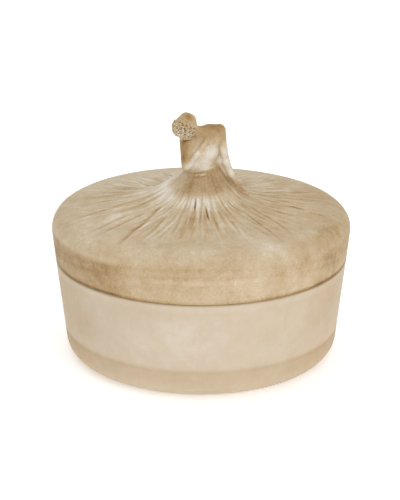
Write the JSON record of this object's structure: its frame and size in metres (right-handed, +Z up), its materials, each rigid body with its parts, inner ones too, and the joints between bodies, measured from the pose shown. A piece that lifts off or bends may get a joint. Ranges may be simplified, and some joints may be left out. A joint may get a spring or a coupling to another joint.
{
  "type": "powder jar",
  "caption": "Round lidded powder jar of frosted pressed glass, with a loose domed lid whose handle is a bowing dancer with a spread, pleated skirt.",
  "frame": {"origin": "centre of the resting ring under the bowl, on the surface that the jar stands on", "axes": "+Z up along the jar's axis; the dancer faces -Y, and her head hangs towards -X"},
  "size_m": [0.08, 0.08, 0.0681],
  "materials": {
    "frosted_glass": "frosted, acid-etched, with a faint sepia stain",
    "patinated_frosted_glass": "frosted, acid-etched, with sepia patina gathered in the pleats and recesses"
  },
  "bodies": {
    "bowl": {"jar_bowl": "frosted_glass"},
    "lid": {"lid": "patinated_frosted_glass"}
  },
  "joints": [
    {"name": "lid_lift", "type": "slide", "parent": "bowl", "child": "lid", "axis": [0, 0, 1], "range_m": [0, 0.06]}
  ]
}
